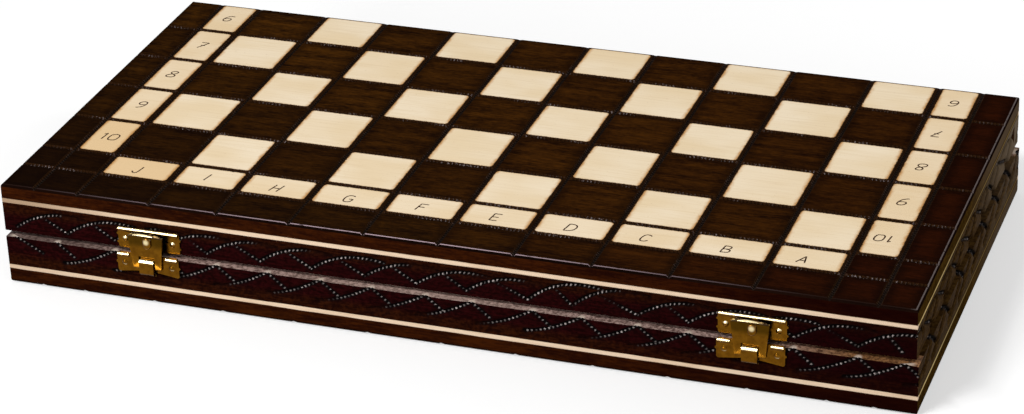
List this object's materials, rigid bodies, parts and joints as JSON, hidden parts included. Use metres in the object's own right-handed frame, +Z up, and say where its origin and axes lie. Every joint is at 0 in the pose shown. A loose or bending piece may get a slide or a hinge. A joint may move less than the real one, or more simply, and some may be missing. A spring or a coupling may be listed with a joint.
{
  "type": "folding draughts board box",
  "caption": "Folding wooden game board box: two shallow trays with a grooved chequered board outside, hung on butt hinges and shut by brass swing latches.",
  "frame": {"origin": "centre of the closed case's bounding box, on the surface that the case lies on", "axes": "+X to the right seen from the latches, +Y from the latches to the hinges, +Z up through the lid"},
  "size_m": [0.403, 0.2082, 0.046],
  "materials": {
    "stained_wood": "dark stain under satin lacquer",
    "light_wood": "pale wood strip under satin lacquer",
    "brass": "bright stamped brass"
  },
  "bodies": {
    "base": {"base_back_inlay": "light_wood", "base_back_wall": "stained_wood", "base_board_panel": "stained_wood", "base_front_inlay": "light_wood", "base_front_wall": "stained_wood", "base_left_inlay": "light_wood", "base_left_wall": "stained_wood", "base_right_inlay": "light_wood", "base_right_wall": "stained_wood", "hinge_base_nails": "brass", "latch_base_nails": "brass", "left_hinge_base_leaf": "brass", "left_hinge_pin": "brass", "left_latch_plate": "brass", "right_hinge_base_leaf": "brass", "right_hinge_pin": "brass", "right_latch_plate": "brass"},
    "lid": {"hinge_lid_nails": "brass", "latch_lid_nails": "brass", "left_hinge_lid_leaf": "brass", "left_latch_strike": "brass", "lid_back_inlay": "light_wood", "lid_back_wall": "stained_wood", "lid_board_panel": "stained_wood", "lid_front_inlay": "light_wood", "lid_front_wall": "stained_wood", "lid_left_inlay": "light_wood", "lid_left_wall": "stained_wood", "lid_right_inlay": "light_wood", "lid_right_wall": "stained_wood", "right_hinge_lid_leaf": "brass", "right_latch_strike": "brass"},
    "left_lever": {"left_latch_lever": "brass"},
    "right_lever": {"right_latch_lever": "brass"}
  },
  "joints": [
    {"name": "lid_hinge", "type": "hinge", "parent": "base", "child": "lid", "pos_m": [0, 0.10211, 0.023], "axis": [-1, 0, 0], "range_deg": [0, 180]},
    {"name": "left_lever_pivot", "type": "hinge", "parent": "base", "child": "left_lever", "pos_m": [-0.1324, -0.10174, 0.0174], "axis": [1, 0, 0], "range_deg": [0, 110]},
    {"name": "right_lever_pivot", "type": "hinge", "parent": "base", "child": "right_lever", "pos_m": [0.1332, -0.10174, 0.0174], "axis": [1, 0, 0], "range_deg": [0, 110]}
  ]
}
